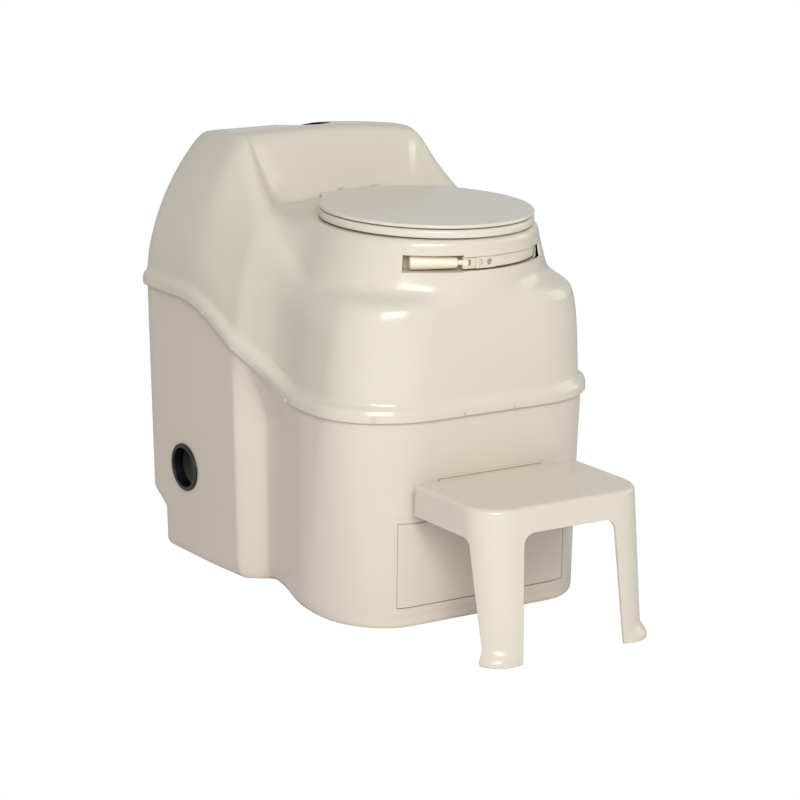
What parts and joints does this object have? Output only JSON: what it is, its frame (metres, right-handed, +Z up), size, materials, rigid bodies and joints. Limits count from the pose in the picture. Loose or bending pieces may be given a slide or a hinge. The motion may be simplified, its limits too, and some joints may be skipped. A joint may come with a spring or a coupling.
{
  "type": "composting toilet",
  "caption": "Self-contained composting toilet: two-part moulded casing, seat and lid, bowl chute, hand-cranked drum, ash drawer, clip-on step and vent fan.",
  "frame": {"origin": "centre of the whole object's box at floor level, step in place", "axes": "front of the toilet, with the seat's front edge, crank, drawer and step, faces -Y; +X is to the right of a person who looks at the front from behind the step; +Z is up"},
  "size_m": [0.5802, 0.942, 0.767],
  "materials": {
    "upper_shell": "glossy",
    "lower_shell": "glossy",
    "seat": "glossy",
    "lid": "glossy",
    "step": "glossy",
    "trim": "glossy",
    "grip": "satin",
    "black_plastic": "matte",
    "grey_plastic": "matte",
    "gear_plastic": "matte",
    "steel": "brushed",
    "galvanised": "satin",
    "screws": "satin",
    "rubber": "matte"
  },
  "bodies": {
    "casing": {"lower_casing": "lower_shell", "upper_casing": "upper_shell", "lip_screws": "screws", "vent_collar": "black_plastic", "side_port_ring": "black_plastic", "overflow_drain": "black_plastic", "cord_gland": "black_plastic", "step_socket": "trim", "hinge_posts": "trim", "hinge_nuts": "trim", "hinge_rod": "steel", "bowl_liner": "seat", "crank_recess": "trim", "idler_axle": "steel", "front_bearing": "gear_plastic", "back_bearing": "gear_plastic", "front_bracket": "galvanised", "back_bracket": "galvanised", "drawer_runners": "galvanised", "evaporating_tray": "galvanised", "heating_element": "steel", "thermostat": "black_plastic", "fan_housing": "grey_plastic", "fan_motor": "black_plastic"},
    "step": {"step_stool": "step"},
    "drawer": {"drawer_front": "lower_shell", "drawer_tray": "grey_plastic"},
    "seat": {"toilet_seat": "seat", "seat_bumpers": "rubber"},
    "lid": {"seat_lid": "lid", "lid_bumpers": "rubber"},
    "crank": {"crank_arm": "trim", "grip_pin": "steel"},
    "grip": {"crank_grip": "grip"},
    "pinion": {"pinion_gear": "gear_plastic", "drive_shaft": "steel"},
    "idler": {"idler_gear": "gear_plastic"},
    "drum": {"ring_gear": "gear_plastic", "drum_shell": "grey_plastic", "drum_front_disc": "grey_plastic", "drum_back_disc": "grey_plastic", "front_trunnion": "steel", "back_trunnion": "steel", "door_pin": "steel"},
    "door": {"drum_door": "grey_plastic"},
    "fan": {"fan_impeller": "black_plastic"}
  },
  "joints": [
    {"name": "seat_hinge", "type": "hinge", "parent": "casing", "child": "seat", "pos_m": [0, 0.192, 0.665], "axis": [-1, 0, 0], "range_deg": [0, 95]},
    {"name": "lid_hinge", "type": "hinge", "parent": "seat", "child": "lid", "pos_m": [0, 0.192, 0.665], "axis": [1, 0, 0], "range_deg": [-105, 0]},
    {"name": "crank_pull", "type": "slide", "parent": "casing", "child": "crank", "axis": [0, -1, 0], "range_m": [0, 0.035]},
    {"name": "grip_fold", "type": "hinge", "parent": "crank", "child": "grip", "pos_m": [-0.04117, -0.19731, 0.615], "axis": [0, 0, 1], "range_deg": [0, 90]},
    {"name": "drum_turn", "type": "hinge", "parent": "casing", "child": "drum", "pos_m": [0, 0, 0.335], "axis": [0, 1, 0], "continuous": true},
    {"name": "idler_turn", "type": "hinge", "parent": "casing", "child": "idler", "pos_m": [0, 0, 0.537], "axis": [0, 1, 0], "continuous": true},
    {"name": "pinion_turn", "type": "hinge", "parent": "casing", "child": "pinion", "pos_m": [0, 0, 0.615], "axis": [0, 1, 0], "continuous": true},
    {"name": "door_swing", "type": "hinge", "parent": "drum", "child": "door", "pos_m": [-0.071, 0, 0.47678], "axis": [0, 1, 0], "range_deg": [0, 60]},
    {"name": "step_pull", "type": "slide", "parent": "casing", "child": "step", "axis": [0, -1, 0], "range_m": [0, 0.48]},
    {"name": "drawer_slide", "type": "slide", "parent": "casing", "child": "drawer", "axis": [0, -1, 0], "range_m": [0, 0.32]},
    {"name": "fan_spin", "type": "hinge", "parent": "casing", "child": "fan", "pos_m": [0, 0.373, 0], "axis": [0, 0, 1], "continuous": true}
  ],
  "couplings": [
    {"joint": "idler_turn", "follows": "drum_turn", "ratio": -2.8846},
    {"joint": "pinion_turn", "follows": "drum_turn", "ratio": 5.7692},
    {"joint": "drawer_slide", "follows": "step_pull", "ratio": 0.66667}
  ]
}
